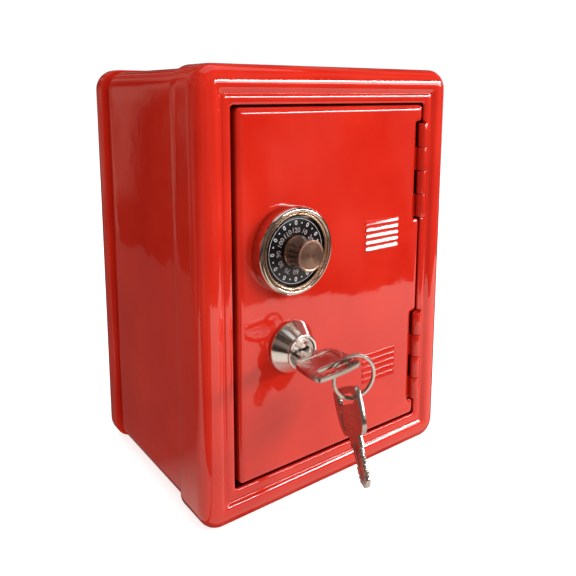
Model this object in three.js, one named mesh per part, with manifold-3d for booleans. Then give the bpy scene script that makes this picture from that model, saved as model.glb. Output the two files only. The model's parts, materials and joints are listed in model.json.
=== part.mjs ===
// A toy safe coin bank: a pressed steel cabinet with a hinged door, a combination dial and a cam lock.
// Millimetres, +Z up. The door faces -Y and +X is to the right of somebody who faces the door.
// The group's origin is the middle of the whole object's footprint, on the surface that it stands on.
import * as THREE from "three";
import { mergeVertices } from "three/addons/utils/BufferGeometryUtils.js";
import Module from "manifold-3d";

const wasm = await Module();
wasm.setup();

// Driving dimensions. Here Y = 0 is the front of the front frame, and the whole group is moved at the end.
const WIDTH = 132;
const DEPTH = 101;
const HEIGHT = 180;
const SHEET = 0.9;
const GAP = 0.3;
const CORNER_RADIUS = 9;
const FRAME_DEPTH = 20.5;
const FRAME_FACE = 14.7;
const FRAME_RETURN = 2.4;
const SLEEVE_START = 14;
const SLEEVE_END = 87.8;
const SLEEVE_LIFT = 2.2;
const COVER_START = 88.4;
const COVER_ROUNDING = 7.5;
const SPIGOT_DEPTH = 8.4;
const SLOT_LENGTH = 36;
const SLOT_WIDTH = 4.8;
const SLOT_Y = 52;

const DOOR_LEFT = -49;
const DOOR_RIGHT = 50.4;
const DOOR_CLEARANCE = 0.9;
const DOOR_FACE = 1.2;
const DOOR_SHEET = 0.8;
const DOOR_FLANGE = 6.5;
const DOOR_ROUNDING = 1.2;
const DOOR_BACK = DOOR_FACE + DOOR_SHEET;
const RIB_COUNT = 5;
const RIB_PITCH = 2.9;
const RIB_HALF_THICKNESS = 0.95;
const RIB_LENGTH = 20.4;
const RIB_CENTRE_X = 25.8;
const RIB_GROUPS_Z = [108.1, 47];

const PIN_X = 50.2;
const PIN_Y = 0.9;
const PIN_RADIUS = 1.05;
const KNUCKLE_BORE = 1.3;
const KNUCKLE_RADIUS = 2.15;
const KNUCKLE_LENGTH = 10.8;
const KNUCKLES = 4;
const LEAF_SHEET = 0.8;
const LEAF_BACK_Y = 3.5;
const DOOR_LEAF_REACH = 14;
const FRAME_LEAF_REACH = 8.5;
const HINGE_OFFSET = 44.7;
const NOTCH_SIDE = 3.3;
const NOTCH_END = 0.6;

const DIAL_X = -25.2;
const DIAL_Z = 108.8;
const BEZEL_RADIUS = 17.8;
const BEZEL_HEIGHT = 6;
const DISC_RADIUS = 13.7;
const DISC_FACE = 4.4;
const DISC_SHEET = 1.2;
const KNOB_HEIGHT = 14;
const KNOB_BASE_RADIUS = 6.4;
const KNOB_FACE_RADIUS = 6.2;
const SPINDLE_RADIUS = 2.9;
const SPINDLE_HOLE = 3.25;
const BUSHING_RADIUS = 5;
const CLICK_TEETH = 24;
const CLICK_RADIUS = 9;
const CLICK_WHEEL_Y = 7;

const LOCK_X = -24.2;
const LOCK_Z = 68.3;
const CONE_BASE_RADIUS = 10.9;
const CONE_FACE_RADIUS = 7.1;
const CONE_HEIGHT = 8;
const BARREL_RADIUS = 8;
const BARREL_END = 10.9;
const PLUG_RADIUS = 5.5;
const PLUG_BORE = 5.85;
const PLUG_TILT = -4;
const KEYWAY = [7, 2.6];
const WAFERS = 4;
const WAFER_PITCH = 2.8;
const CAM_Y = BARREL_END + GAP;
const CAM_SHEET = 1.5;
const CAM_LATCH_Y = 7.3;
const CAM_REACH = 31.5;
const CAM_WIDTH = 10;
const TAIL_SIDE = 5.6;

const KEY_SHEET = 2;
const KEY_LENGTH = 37;
const BOW_LENGTH = 18.3;
const BOW_HALF_WIDTH = 10.7;
const COLLAR_END = 23;
const COLLAR_HALF_WIDTH = 4;
const BLADE_HALF_WIDTH = 3;
const KEY_SLOT_AT = 4.8;
const KEY_SLOT_HALF_LENGTH = 7.3;
const KEY_SLOT_HALF_WIDTH = 1.9;
const RING_RADIUS = 9.2;
const RING_WALL = 1.3;
const RING_WIRE = 1.4;
const RING_DROP = 5.9;
const RING_YAW = -14;
const SPARE_SWING = 30.5;

const LOCK_FACE_Y = DOOR_FACE - CONE_HEIGHT;
const KEY_END_Y = LOCK_FACE_Y - GAP - COLLAR_END;

const paint = new THREE.MeshStandardMaterial({ color: 0xd62a1e, roughness: 0.22, metalness: 0 });
const chrome = new THREE.MeshStandardMaterial({ color: 0xd8d6d4, roughness: 0.12, metalness: 1 });
const steel = new THREE.MeshStandardMaterial({ color: 0x9a9ca0, roughness: 0.4, metalness: 1 });
const brass = new THREE.MeshStandardMaterial({ color: 0xc09a4a, roughness: 0.3, metalness: 1 });
const dialBlack = new THREE.MeshStandardMaterial({ color: 0x0c0c0e, roughness: 0.2, metalness: 0 });

// The manifold-3d solid of a closed geometry.
function solidOf(geometry) {
  const bare = geometry.clone();
  bare.deleteAttribute("normal");
  bare.deleteAttribute("uv");
  const merged = mergeVertices(bare, 1e-4);
  return new wasm.Manifold(
    new wasm.Mesh({
      numProp: 3,
      vertProperties: merged.attributes.position.array,
      triVerts: new Uint32Array(merged.index.array),
    }),
  );
}

function geometryOf(solid) {
  const mesh = solid.getMesh();
  return new THREE.BufferGeometry()
    .setAttribute("position", new THREE.BufferAttribute(mesh.vertProperties, 3))
    .setIndex(new THREE.BufferAttribute(mesh.triVerts, 1));
}

function join(geometry, ...others) {
  return geometryOf(others.reduce((sum, other) => sum.add(solidOf(other)), solidOf(geometry)));
}

function cut(geometry, ...tools) {
  return geometryOf(tools.reduce((rest, tool) => rest.subtract(solidOf(tool)), solidOf(geometry)));
}

// A block given by its lowest and highest corners.
function block(low, high) {
  const size = high.map((value, i) => value - low[i]);
  const centre = high.map((value, i) => (value + low[i]) / 2);
  return new THREE.BoxGeometry(...size).translate(...centre);
}

// A cylinder along Y, from one depth to another.
function rod(radius, fromY, toY, segments = 24) {
  return new THREE.CylinderGeometry(radius, radius, toY - fromY, segments).translate(0, (fromY + toY) / 2, 0);
}

// A body of revolution about Y. Each profile point is [radius, y], with y rising along the outside.
function turned(profile, segments = 32) {
  return new THREE.LatheGeometry(
    profile.map(([radius, y]) => new THREE.Vector2(radius, y)),
    segments,
  );
}

// A flat plate: a shape drawn in X and Z, as thick as its two depths say.
function plate(shape, fromY, toY, curveSegments = 6) {
  const options = { depth: toY - fromY, bevelEnabled: false, curveSegments };
  return new THREE.ExtrudeGeometry(shape, options).rotateX(Math.PI / 2).translate(0, toY, 0);
}

function regularShape(sides, circumradius) {
  const shape = new THREE.Shape();
  for (let i = 0; i < sides; i++) {
    const angle = ((i + 0.5) / sides) * 2 * Math.PI;
    const point = [circumradius * Math.cos(angle), circumradius * Math.sin(angle)];
    if (i === 0) shape.moveTo(...point);
    else shape.lineTo(...point);
  }
  return shape;
}

function hexNut(across, bore, fromY, toY) {
  return cut(
    plate(regularShape(6, across / Math.sqrt(3)), fromY, toY),
    rod(bore, fromY - 1, toY + 1),
  );
}

function washer(outer, bore, fromY, toY) {
  return turned([[bore, fromY], [outer, fromY], [outer, toY], [bore, toY], [bore, fromY]], 24);
}

// A rounded rectangle in X and Z, anticlockwise from the front, set in from the edges of box.
function outline(box, inset, cornerRadius, cornerSteps) {
  const radius = Math.max(cornerRadius - inset, 1.5);
  const corners = [
    [box.right - inset - radius, box.bottom + inset + radius, -90],
    [box.right - inset - radius, box.top - inset - radius, 0],
    [box.left + inset + radius, box.top - inset - radius, 90],
    [box.left + inset + radius, box.bottom + inset + radius, 180],
  ];
  return corners.flatMap(([x, z, start]) =>
    Array.from({ length: cornerSteps + 1 }, (_, i) => {
      const angle = THREE.MathUtils.degToRad(start + (90 * i) / cornerSteps);
      return [x + radius * Math.cos(angle), z + radius * Math.sin(angle)];
    }),
  );
}

// A pressed shell: rounded rectangles, one for each profile point [inset, y], skinned in order.
// A closed profile makes a frame, and an open one has its first and last rectangles filled in.
function pressing(profile, box, cornerRadius, closed, cornerSteps = 6) {
  const loops = profile.map(([inset, y]) =>
    outline(box, inset, cornerRadius, cornerSteps).map(([x, z]) => [x, y, z]),
  );
  const count = loops[0].length;
  const index = [];
  const last = loops.length - 1;
  for (let i = 0; i <= (closed ? last : last - 1); i++) {
    const next = (i + 1) % loops.length;
    for (let j = 0; j < count; j++) {
      const k = (j + 1) % count;
      index.push(i * count + j, i * count + k, next * count + k);
      index.push(i * count + j, next * count + k, next * count + j);
    }
  }
  for (let j = 1; j < count - 1 && !closed; j++) {
    index.push(0, j + 1, j);
    index.push(last * count, last * count + j, last * count + j + 1);
  }
  return new THREE.BufferGeometry()
    .setAttribute("position", new THREE.Float32BufferAttribute(loops.flat(2), 3))
    .setIndex(index);
}

// Points on a quarter circle in a profile, as [inset, y] about a centre.
function quarter(centreInset, centreY, radius, fromDegrees, toDegrees, steps) {
  return Array.from({ length: steps + 1 }, (_, i) => {
    const angle = THREE.MathUtils.degToRad(fromDegrees + ((toDegrees - fromDegrees) * i) / steps);
    return [centreInset - radius * Math.cos(angle), centreY + radius * Math.sin(angle)];
  });
}

const cabinetBox = { left: -WIDTH / 2, right: WIDTH / 2, bottom: 0, top: HEIGHT };
const hingeCentres = { upper: HEIGHT / 2 + HINGE_OFFSET, lower: HEIGHT / 2 - HINGE_OFFSET };
const hingeHalf = (KNUCKLES * KNUCKLE_LENGTH) / 2;

// The notches that clear the hinge barrels, cut in both the frame's edge and the door's.
function hingeNotches() {
  return Object.values(hingeCentres).map((centre) =>
    block(
      [PIN_X - NOTCH_SIDE, -5, centre - hingeHalf - NOTCH_END],
      [PIN_X + NOTCH_SIDE, DOOR_FLANGE + 1, centre + hingeHalf + NOTCH_END],
    ),
  );
}

// Deep flange, broad bullnose, shallow valley, and a small bead that turns back at the opening.
function frontFrame() {
  const profile = [
    [0, FRAME_DEPTH], [0, 5.2], [0.5, 3], [1.7, 1.2], [3.4, 0.25], [5.2, 0], [7.2, 0.25], [9.2, 0.85],
    [10.6, 1.4], [11.6, 1.15], [12.7, 1.05], [13.9, 1.25], [FRAME_FACE, 1.8], [FRAME_FACE, FRAME_RETURN],
    [13.9, FRAME_RETURN], [13.5, 2.05], [12.7, 1.95], [11.6, 2.05], [10.6, 2.3], [9, 1.75], [7.2, 1.15],
    [5.2, 0.9], [3.8, 1.1], [2.4, 1.9], [1.4, 3.4], [SHEET, 5.4], [SHEET, FRAME_DEPTH],
  ];
  return cut(pressing(profile, cabinetBox, CORNER_RADIUS, true), ...hingeNotches());
}

// Four sides in one wrap, tucked into the front frame, with its rear edge rolled in and a slot in its top.
function bodySleeve() {
  const side = SHEET + GAP;
  const box = { left: side - WIDTH / 2, right: WIDTH / 2 - side, bottom: SLEEVE_LIFT, top: HEIGHT - side };
  const roll = 5.8;
  const profile = [
    [2, SLEEVE_END], [1.2, SLEEVE_END - 1.2], [0.4, SLEEVE_END - 3.4], [0, SLEEVE_END - roll],
    [0, SLEEVE_START], [SHEET, SLEEVE_START], [SHEET, SLEEVE_END - roll],
    [1.2, SLEEVE_END - 3.6], [2, SLEEVE_END - 1.6], [2.7, SLEEVE_END],
  ];
  const wrap = pressing(profile, box, CORNER_RADIUS - side, true);
  const lip = 3;
  const rim = block(
    [-SLOT_LENGTH / 2 - SHEET, SLOT_Y - SLOT_WIDTH / 2 - SHEET, box.top - lip],
    [SLOT_LENGTH / 2 + SHEET, SLOT_Y + SLOT_WIDTH / 2 + SHEET, box.top - SHEET / 2],
  );
  const mouth = block(
    [-SLOT_LENGTH / 2, SLOT_Y - SLOT_WIDTH / 2, box.top - lip - 1],
    [SLOT_LENGTH / 2, SLOT_Y + SLOT_WIDTH / 2, box.top + 1],
  );
  return cut(join(wrap, rim), mouth);
}

// A shallow pan whose rim is hemmed in and then forward, as a spigot inside the sleeve.
function rearCover() {
  const spigot = 5.3;
  const hem = COVER_START + SHEET;
  const profile = [
    ...quarter(COVER_ROUNDING, DEPTH - COVER_ROUNDING, COVER_ROUNDING, 90, 0, 5),
    [0, COVER_START], [spigot, COVER_START], [spigot, COVER_START - SPIGOT_DEPTH],
    [spigot + SHEET, COVER_START - SPIGOT_DEPTH], [spigot + SHEET, hem], [SHEET, hem],
    ...quarter(COVER_ROUNDING, DEPTH - COVER_ROUNDING, COVER_ROUNDING - SHEET, 0, 90, 5),
  ];
  return pressing(profile, cabinetBox, CORNER_RADIUS, false);
}

// An angle behind the frame's left edge. The lock's cam turns in behind its free leg.
function strikePlate() {
  const x = -WIDTH / 2 + FRAME_FACE - GAP;
  const half = 9;
  return join(
    block([x - 7, 3, LOCK_Z - half], [x, 3.9, LOCK_Z + half]),
    block([x - SHEET, 3.4, LOCK_Z - half], [x, CAM_LATCH_Y - GAP, LOCK_Z + half]),
  );
}

function rib(z) {
  const straight = RIB_LENGTH - 2 * RIB_HALF_THICKNESS;
  return new THREE.CapsuleGeometry(RIB_HALF_THICKNESS, straight, 3, 10)
    .rotateZ(Math.PI / 2)
    .translate(RIB_CENTRE_X, DOOR_FACE + 0.15, z);
}

// A flat pan with rounded edges, two groups of raised ribs, and holes for the dial and the lock.
function doorPanel() {
  const box = {
    left: DOOR_LEFT,
    right: DOOR_RIGHT,
    bottom: FRAME_FACE + DOOR_CLEARANCE,
    top: HEIGHT - FRAME_FACE - DOOR_CLEARANCE,
  };
  const profile = [
    [DOOR_ROUNDING, DOOR_BACK], [DOOR_SHEET, DOOR_FACE + DOOR_ROUNDING], [DOOR_SHEET, DOOR_FLANGE],
    [0, DOOR_FLANGE],
    ...quarter(DOOR_ROUNDING, DOOR_FACE + DOOR_ROUNDING, DOOR_ROUNDING, 0, -90, 3),
  ];
  const ribs = RIB_GROUPS_Z.flatMap((middle) =>
    Array.from({ length: RIB_COUNT }, (_, i) => rib(middle + (i - (RIB_COUNT - 1) / 2) * RIB_PITCH)),
  );
  const behindRibs = RIB_GROUPS_Z.map((middle) =>
    block([RIB_CENTRE_X - RIB_LENGTH, DOOR_BACK, middle - 10], [RIB_CENTRE_X + RIB_LENGTH, 5, middle + 10]),
  );
  return cut(
    join(pressing(profile, box, 1.5, false, 3), ...ribs),
    ...behindRibs,
    ...hingeNotches(),
    rod(BUSHING_RADIUS + GAP, -1, 5).translate(DIAL_X, 0, DIAL_Z),
    rod(BARREL_RADIUS + GAP, -1, 5).translate(LOCK_X, 0, LOCK_Z),
  );
}

// One leaf with every second knuckle. side is -1 for the door's leaf and 1 for the frame's.
function hingeLeaf(side, reach, firstKnuckle) {
  const back = LEAF_BACK_Y;
  const front = back - LEAF_SHEET;
  const ordered = (a, b) => [Math.min(a, b), Math.max(a, b)];
  const clear = KNUCKLE_RADIUS + GAP;
  const half = hingeHalf - GAP / 2;
  const [low, high] = ordered(PIN_X + side * clear, PIN_X + side * reach);
  let leaf = block([low, front, -half], [high, back, half]);
  for (let k = firstKnuckle; k < KNUCKLES; k += 2) {
    const from = -hingeHalf + k * KNUCKLE_LENGTH + GAP / 2;
    const to = from + KNUCKLE_LENGTH - GAP;
    const barrel = washer(KNUCKLE_RADIUS, KNUCKLE_BORE, from, to).rotateX(Math.PI / 2);
    const [near, far] = ordered(PIN_X, PIN_X + side * (clear + 1));
    leaf = join(leaf, barrel.translate(PIN_X, PIN_Y, 0), block([near, front, from], [far, back, to]));
  }
  return leaf;
}

function hingePin() {
  return rod(PIN_RADIUS, GAP - hingeHalf, hingeHalf - GAP, 16).rotateX(Math.PI / 2);
}

// Depths of the dial's parts are heights above the door's face, so they are turned with y pointing out.
function onDial(geometry) {
  return geometry.rotateX(Math.PI).translate(0, DOOR_FACE, 0);
}

// A cup with a rolled outer rim, a thin groove and a sloping inner ring round the dial.
function dialBezel() {
  return onDial(turned([
    [8.5, GAP], [BEZEL_RADIUS, GAP], [BEZEL_RADIUS, 4.2], [17.5, 5.2], [16.8, 5.8], [16.2, BEZEL_HEIGHT],
    [15.7, 5.7], [15.4, 5.1], [15.2, 5.5], [14.8, 5.5], [14.2, 4.9], [14.2, 1.3], [8.5, 1.3], [8.5, GAP],
  ], 40));
}

function dialBushing() {
  const flange = BUSHING_RADIUS + 2.4;
  return onDial(turned([
    [SPINDLE_HOLE, -5.4], [BUSHING_RADIUS, -5.4], [BUSHING_RADIUS, GAP], [flange, GAP],
    [flange, 1.2], [SPINDLE_HOLE, 1.2], [SPINDLE_HOLE, -5.4],
  ], 24));
}

function dialDisc() {
  return onDial(washer(DISC_RADIUS, SPINDLE_HOLE, DISC_FACE - DISC_SHEET, DISC_FACE));
}

// A turned knob with a flared foot, a waist and a flat face, bored for the spindle.
function dialKnob() {
  const foot = DISC_FACE + GAP;
  const bore = KNOB_HEIGHT - 3;
  return onDial(turned([
    [SPINDLE_HOLE, foot], [KNOB_BASE_RADIUS, foot], [KNOB_BASE_RADIUS, foot + 0.8], [5.9, foot + 2],
    [5.6, foot + 4], [5.6, foot + 6], [6, KNOB_HEIGHT - 0.9], [KNOB_FACE_RADIUS, KNOB_HEIGHT - 0.4],
    [KNOB_FACE_RADIUS - 0.4, KNOB_HEIGHT], [0, KNOB_HEIGHT], [0, bore], [SPINDLE_HOLE, bore],
    [SPINDLE_HOLE, foot],
  ], 32));
}

function dialSpindle() {
  const neck = SPINDLE_RADIUS - 0.7;
  return onDial(turned([
    [0, -9.5], [SPINDLE_RADIUS, -9.5], [SPINDLE_RADIUS, -8.7], [neck, -8.7], [neck, -7.5],
    [SPINDLE_RADIUS, -7.5], [SPINDLE_RADIUS, 10.6], [0, 10.6],
  ], 20));
}

// A saw of shallow round-bottomed notches that the spring clicks over.
function clickWheel() {
  const shape = new THREE.Shape();
  for (let i = 0; i < CLICK_TEETH * 2; i++) {
    const angle = (i / (CLICK_TEETH * 2)) * 2 * Math.PI;
    const radius = i % 2 ? CLICK_RADIUS : CLICK_RADIUS - 0.8;
    const point = [radius * Math.cos(angle), radius * Math.sin(angle)];
    if (i === 0) shape.moveTo(...point);
    else shape.lineTo(...point);
  }
  return cut(plate(shape, CLICK_WHEEL_Y, CLICK_WHEEL_Y + 1.4), rod(SPINDLE_HOLE, 0, 12));
}

// A leaf spring: an eye under the bushing's nut, an arm, and a tongue that reaches back to the wheel's rim.
function clickSpring() {
  const from = DOOR_BACK + GAP;
  const to = from + 0.6;
  const tongue = CLICK_RADIUS + 0.35;
  return cut(
    join(
      rod(BUSHING_RADIUS + 2.6, from, to),
      block([-2.6, from, 0], [2.6, to, tongue + 0.6]),
      block([-1.6, from, tongue], [1.6, CLICK_WHEEL_Y + 1.4, tongue + 0.6]),
    ),
    rod(BUSHING_RADIUS + GAP, from - 1, to + 1),
  );
}

// A spring clip in the spindle's groove, open on one side.
function spindleClip() {
  const from = DOOR_FACE + 7.8;
  return cut(
    washer(5, SPINDLE_RADIUS - 0.4, from, from + 0.6),
    block([-1.9, from - 1, -6], [1.9, from + 2, 0]),
  );
}

// Cone, threaded barrel and the bore that the plug turns in.
function lockBody() {
  const shoulder = DOOR_FACE - GAP;
  return turned([
    [PLUG_BORE, LOCK_FACE_Y], [6.6, LOCK_FACE_Y], [CONE_FACE_RADIUS, LOCK_FACE_Y + 0.5],
    [CONE_BASE_RADIUS - 0.2, shoulder - 1.2], [CONE_BASE_RADIUS, shoulder], [BARREL_RADIUS, shoulder],
    [BARREL_RADIUS, BARREL_END], [PLUG_BORE, BARREL_END], [PLUG_BORE, LOCK_FACE_Y],
  ], 36);
}

// The rotating plug: a keyway end to end but for its tail, windows for the wafers, and a square tail.
function lockPlug() {
  const front = LOCK_FACE_Y + 0.4;
  const end = BARREL_END;
  const half = TAIL_SIDE / 2;
  const [keywayWidth, keywayHeight] = KEYWAY;
  const windows = waferDepths().map((y) => block([-6, y - 0.75, -2.7], [6, y + 0.75, 2.7]));
  const tail = block([-half, end - 1, -half], [half, end + GAP + CAM_SHEET, half]);
  return cut(
    join(rod(PLUG_RADIUS, front, end, 28), tail),
    block([-keywayWidth / 2, front - 1, -keywayHeight / 2], [keywayWidth / 2, end - 2.2, keywayHeight / 2]),
    ...windows,
    rod(1.6, end - 1.6, end + 5, 16),
  );
}

function waferDepths() {
  return Array.from({ length: WAFERS }, (_, i) => LOCK_FACE_Y + 3.6 + i * WAFER_PITCH);
}

// A thin brass tumbler with a window that the key's blade passes through.
function lockWafer(y) {
  return cut(
    block([-4.8, y - 0.45, -2.4], [4.8, y + 0.45, 2.4]),
    block([-BLADE_HALF_WIDTH - GAP, y - 1, -1.35], [BLADE_HALF_WIDTH + GAP, y + 1, 1.35]),
  );
}

// A cranked arm. It points down when the lock is open, and its free end lies nearer to the door.
function lockCam() {
  const half = CAM_WIDTH / 2;
  const hole = TAIL_SIDE / 2 + GAP;
  const crank = 13;
  const hub = plate(regularShape(16, half + 1.6), CAM_Y, CAM_Y + CAM_SHEET);
  return cut(
    join(
      hub,
      block([-half, CAM_Y, -crank], [half, CAM_Y + CAM_SHEET, 0]),
      block([-half, CAM_LATCH_Y, -crank - CAM_SHEET], [half, CAM_Y + CAM_SHEET, -crank]),
      block([-half, CAM_LATCH_Y, -CAM_REACH], [half, CAM_LATCH_Y + CAM_SHEET, -crank]),
    ),
    block([-hole, CAM_Y - 1, -hole], [hole, CAM_Y + 3, hole]),
  );
}

function camScrew() {
  const seat = CAM_Y + CAM_SHEET + 2 * GAP + 0.8;
  const driver = block([-4, seat + 1.4, -0.5], [4, seat + 3, 0.5]);
  const turnedScrew = turned([
    [0, BARREL_END - 1.2], [1.25, BARREL_END - 1.2], [1.25, seat], [3.8, seat], [3.8, seat + 1.6],
    [3, seat + 2.3], [0, seat + 2.3],
  ], 20);
  return cut(turnedScrew, driver);
}

// The outline of a key, drawn with its bow's end at 0 and its blade pointing along the shape's +Y.
function keyShape() {
  const shape = new THREE.Shape();
  const corner = 2.6;
  const shoulder = BOW_LENGTH - 3;
  shape.moveTo(corner - BOW_HALF_WIDTH, 0.5);
  shape.quadraticCurveTo(0, -0.5, BOW_HALF_WIDTH - corner, 0.5);
  shape.quadraticCurveTo(BOW_HALF_WIDTH - 0.2, 1, BOW_HALF_WIDTH, 4);
  shape.quadraticCurveTo(BOW_HALF_WIDTH + 0.1, 10, BOW_HALF_WIDTH - 1.1, shoulder);
  shape.quadraticCurveTo(BOW_HALF_WIDTH - 2.2, BOW_LENGTH, COLLAR_HALF_WIDTH, BOW_LENGTH);
  shape.lineTo(COLLAR_HALF_WIDTH, COLLAR_END);
  shape.lineTo(BLADE_HALF_WIDTH, COLLAR_END);
  bitting(shape, 1);
  shape.lineTo(0, KEY_LENGTH);
  bitting(shape, -1);
  shape.lineTo(-BLADE_HALF_WIDTH, COLLAR_END);
  shape.lineTo(-COLLAR_HALF_WIDTH, COLLAR_END);
  shape.lineTo(-COLLAR_HALF_WIDTH, BOW_LENGTH);
  shape.quadraticCurveTo(2.2 - BOW_HALF_WIDTH, BOW_LENGTH, 1.1 - BOW_HALF_WIDTH, shoulder);
  shape.quadraticCurveTo(-BOW_HALF_WIDTH - 0.1, 10, -BOW_HALF_WIDTH, 4);
  shape.quadraticCurveTo(0.2 - BOW_HALF_WIDTH, 1, corner - BOW_HALF_WIDTH, 0.5);
  shape.holes.push(keySlot());
  return shape;
}

// Shallow cuts along one edge of the blade. The right edge is drawn towards the tip, the left edge back.
function bitting(shape, side) {
  const cuts = 4;
  const start = COLLAR_END + 2.2;
  const pitch = (KEY_LENGTH - 3.2 - start) / cuts;
  const points = [];
  for (let i = 0; i < cuts; i++) {
    const depth = 0.7 + 0.25 * Math.sin(5 * i + side);
    const at = start + i * pitch;
    points.push([BLADE_HALF_WIDTH, at], [BLADE_HALF_WIDTH - depth, at + pitch * 0.35]);
    points.push([BLADE_HALF_WIDTH - depth, at + pitch * 0.65]);
  }
  points.push([BLADE_HALF_WIDTH, start + cuts * pitch], [BLADE_HALF_WIDTH - 0.6, KEY_LENGTH - 1.9]);
  if (side < 0) points.reverse();
  points.forEach(([across, along]) => shape.lineTo(side * across, along));
}

function keySlot() {
  const hole = new THREE.Path();
  const straight = KEY_SLOT_HALF_LENGTH - KEY_SLOT_HALF_WIDTH;
  hole.moveTo(-straight, KEY_SLOT_AT - KEY_SLOT_HALF_WIDTH);
  hole.absarc(-straight, KEY_SLOT_AT, KEY_SLOT_HALF_WIDTH, -Math.PI / 2, Math.PI / 2, true);
  hole.absarc(straight, KEY_SLOT_AT, KEY_SLOT_HALF_WIDTH, Math.PI / 2, -Math.PI / 2, true);
  return hole;
}

// A key lying flat in X and Y, middle of its thickness at Z = 0, blade pointing along +Y.
function key() {
  const options = { depth: KEY_SHEET, bevelEnabled: false, curveSegments: 5 };
  return new THREE.ExtrudeGeometry(keyShape(), options).translate(0, 0, -KEY_SHEET / 2);
}

// A flat-wire split ring about Y, closed up as one band.
function keyRing() {
  return washer(RING_RADIUS, RING_RADIUS - RING_WALL, -RING_WIRE / 2, RING_WIRE / 2);
}

const safe = new THREE.Group();

function add(name, geometry, material, parent = safe) {
  const mesh = new THREE.Mesh(geometry, material);
  mesh.name = name;
  parent.add(mesh);
  return mesh;
}

function groupAt(x, y, z) {
  const group = new THREE.Group();
  group.position.set(x, y, z);
  safe.add(group);
  return group;
}

function addCabinet() {
  add("front_frame", frontFrame(), paint);
  add("body_sleeve", bodySleeve(), paint);
  add("rear_cover", rearCover(), paint);
  add("strike_plate", strikePlate(), steel);
}

function addHinges() {
  for (const [place, centre] of Object.entries(hingeCentres)) {
    const hinge = groupAt(0, 0, centre);
    add(place + "_hinge_door_leaf", hingeLeaf(-1, DOOR_LEAF_REACH, 0), paint, hinge);
    add(place + "_hinge_frame_leaf", hingeLeaf(1, FRAME_LEAF_REACH, 1), paint, hinge);
    add(place + "_hinge_pin", hingePin().translate(PIN_X, PIN_Y, 0), paint, hinge);
  }
}

function addDial() {
  const dial = groupAt(DIAL_X, 0, DIAL_Z);
  const nutFrom = DOOR_BACK + 0.6 + 2 * GAP;
  add("dial_bezel", dialBezel(), chrome, dial);
  add("dial_bushing", dialBushing(), brass, dial);
  add("click_spring", clickSpring(), steel, dial);
  add("dial_nut", hexNut(14, BUSHING_RADIUS + GAP, nutFrom, nutFrom + 2.6), steel, dial);
  add("dial_disc", dialDisc(), dialBlack, dial);
  add("dial_knob", dialKnob(), chrome, dial);
  add("dial_spindle", dialSpindle(), steel, dial);
  add("click_wheel", clickWheel(), brass, dial);
  add("spindle_clip", spindleClip(), steel, dial);
}

function addLock() {
  const lock = groupAt(LOCK_X, 0, LOCK_Z);
  add("lock_body", lockBody(), chrome, lock);
  add("lock_washer", washer(11.5, BARREL_RADIUS + GAP, DOOR_BACK + GAP, DOOR_BACK + GAP + 0.8), steel, lock);
  const nutFrom = DOOR_BACK + 2 * GAP + 0.8;
  add("lock_nut", hexNut(20, BARREL_RADIUS + GAP, nutFrom, nutFrom + 3.2), steel, lock);
  const rotor = groupAt(LOCK_X, 0, LOCK_Z);
  rotor.rotation.y = THREE.MathUtils.degToRad(PLUG_TILT);
  add("lock_plug", lockPlug(), chrome, rotor);
  waferDepths().forEach((y, i) => add("lock_wafer_" + (i + 1), lockWafer(y), brass, rotor));
  add("lock_cam", lockCam(), steel, rotor);
  const washerFrom = CAM_Y + CAM_SHEET + GAP;
  add("cam_washer", washer(4.6, 1.7, washerFrom, washerFrom + 0.8).translate(0, 0.1, 0), steel, rotor);
  add("cam_screw", camScrew().translate(0, 0.2, 0), steel, rotor);
  add("key_in_lock", key().translate(0, KEY_END_Y, 0), chrome, rotor);
}

// The ring hangs on the narrow bar beside the first key's slot, and the spare key hangs on the ring.
function addKeyRing() {
  const tilt = THREE.MathUtils.degToRad(PLUG_TILT);
  const barAcross = (KEY_SLOT_HALF_LENGTH + BOW_HALF_WIDTH) / 2;
  const barX = LOCK_X + barAcross * Math.cos(tilt);
  const barZ = LOCK_Z - barAcross * Math.sin(tilt);
  const yaw = THREE.MathUtils.degToRad(RING_YAW);
  const slotCrossing = 5.5;
  const ringY = KEY_END_Y + KEY_SLOT_AT + slotCrossing * Math.sin(yaw);
  const ring = groupAt(barX, ringY, barZ - RING_DROP);
  ring.rotation.z = yaw;
  add("key_ring", keyRing(), chrome, ring);
  const spare = new THREE.Group();
  spare.position.z = RING_WALL / 2 - RING_RADIUS;
  spare.rotation.x = THREE.MathUtils.degToRad(-SPARE_SWING);
  ring.add(spare);
  // The blade points down and the bow lies across the ring's wire, which runs through the end of its slot.
  const hung = key()
    .translate(KEY_SLOT_HALF_WIDTH - KEY_SLOT_HALF_LENGTH, -KEY_SLOT_AT, 0)
    .rotateX(-Math.PI / 2)
    .rotateZ(-Math.PI / 2);
  add("spare_key", hung, chrome, spare);
}

addCabinet();
add("door_panel", doorPanel(), paint);
addHinges();
addDial();
addLock();
addKeyRing();

// The footprint's middle, from the rear cover's back to the first thing that stands out in front.
safe.updateMatrixWorld(true);
const bounds = new THREE.Box3().setFromObject(safe, true);
safe.position.y = -(bounds.min.y + bounds.max.y) / 2;

export default safe;
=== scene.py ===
"""A toy safe coin bank in gloss red enamel, with a chrome combination dial, a cam lock and two keys.

Shapes are drawn in millimetres. In a drawing, y = 0 is the front of the front frame and z = 0 the surface
that the bank stands on. in_metres() turns a drawn point into metres in the frame's own axes.
"""
import json
import math

import bmesh
import bpy
from mathutils import Matrix, Vector
from mathutils.geometry import delaunay_2d_cdt


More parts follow.
